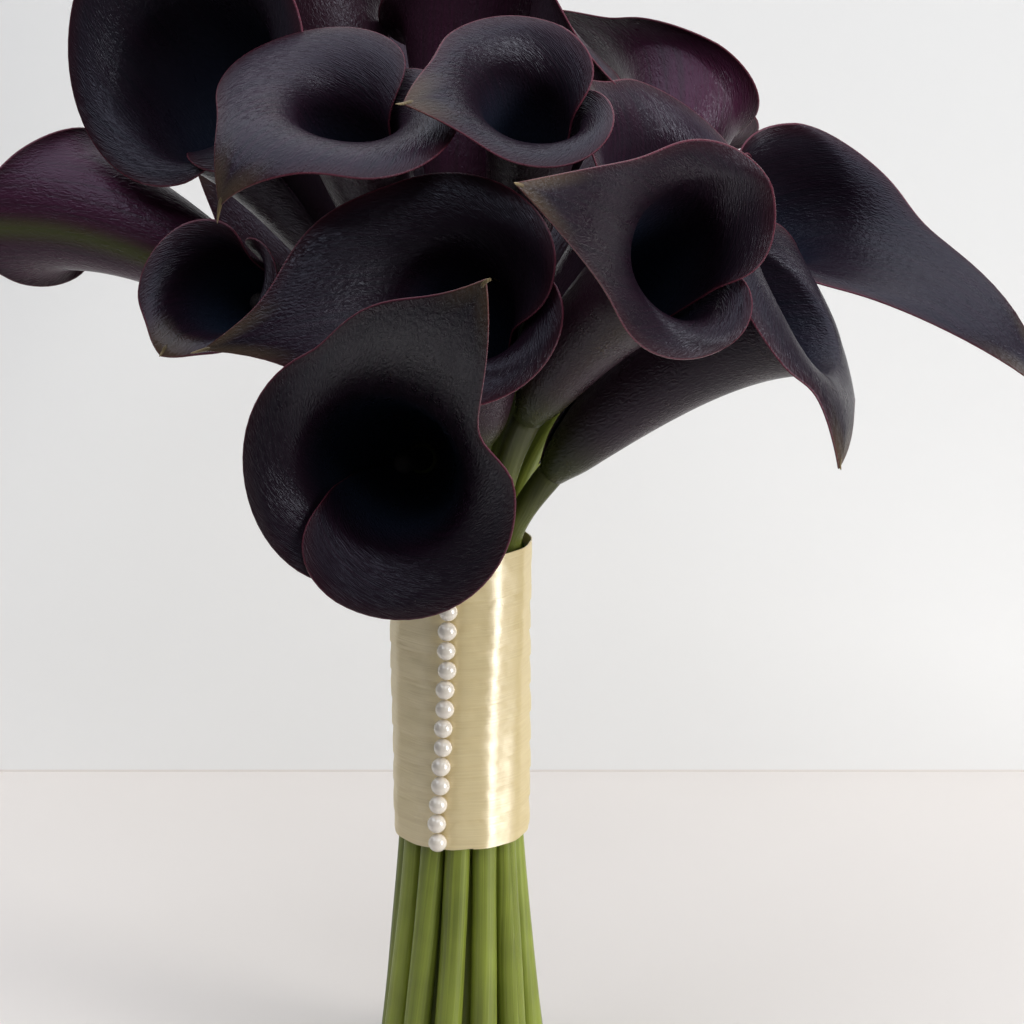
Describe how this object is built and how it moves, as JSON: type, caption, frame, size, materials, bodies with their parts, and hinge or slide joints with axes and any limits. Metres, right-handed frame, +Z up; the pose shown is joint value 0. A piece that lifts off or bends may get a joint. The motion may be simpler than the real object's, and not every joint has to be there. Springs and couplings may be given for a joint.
{
  "type": "tied calla lily bouquet",
  "caption": "Hand-tied bouquet of near-black calla lilies with long green stems bound in champagne satin ribbon, closed by a row of pearl-headed pins.",
  "frame": {"origin": "middle of the bundle on the plane of the cut stem ends, at the centre stem", "axes": "+Z up along the stems, -Y towards the front of the bouquet, where the row of pearls is, +X to the right of someone facing it"},
  "size_m": [0.3269, 0.2813, 0.3668],
  "materials": {
    "spathe": "satin, waxy petal",
    "stem": "satin, fleshy stem",
    "ribbon": "satin weave",
    "tape": "waxed crepe",
    "pearl": "pearl lustre"
  },
  "bodies": {
    "root": {"bloom_A": "spathe", "stem_A": "stem", "bloom_B": "spathe", "stem_B": "stem", "bloom_C": "spathe", "stem_C": "stem", "bloom_D": "spathe", "stem_D": "stem", "bloom_E": "spathe", "stem_E": "stem", "bloom_F": "spathe", "stem_F": "stem", "bloom_G": "spathe", "stem_G": "stem", "bloom_H": "spathe", "stem_H": "stem", "bloom_I": "spathe", "stem_I": "stem", "bloom_J": "spathe", "stem_J": "stem", "bloom_K": "spathe", "stem_K": "stem", "bloom_L": "spathe", "stem_L": "stem", "bloom_M": "spathe", "stem_M": "stem", "bloom_N": "spathe", "stem_N": "stem", "bloom_O": "spathe", "stem_O": "stem", "bloom_P": "spathe", "stem_P": "stem", "bloom_Q": "spathe", "stem_Q": "stem", "bloom_R": "spathe", "stem_R": "stem", "bloom_S": "spathe", "stem_S": "stem", "binding_tape": "tape", "ribbon_wrap": "ribbon", "pearl_pin_1": "pearl", "pearl_pin_2": "pearl", "pearl_pin_3": "pearl", "pearl_pin_4": "pearl", "pearl_pin_5": "pearl", "pearl_pin_6": "pearl", "pearl_pin_7": "pearl", "pearl_pin_8": "pearl", "pearl_pin_9": "pearl", "pearl_pin_10": "pearl", "pearl_pin_11": "pearl", "pearl_pin_12": "pearl", "pearl_pin_13": "pearl", "pearl_pin_14": "pearl", "pearl_pin_15": "pearl"}
  },
  "joints": []
}
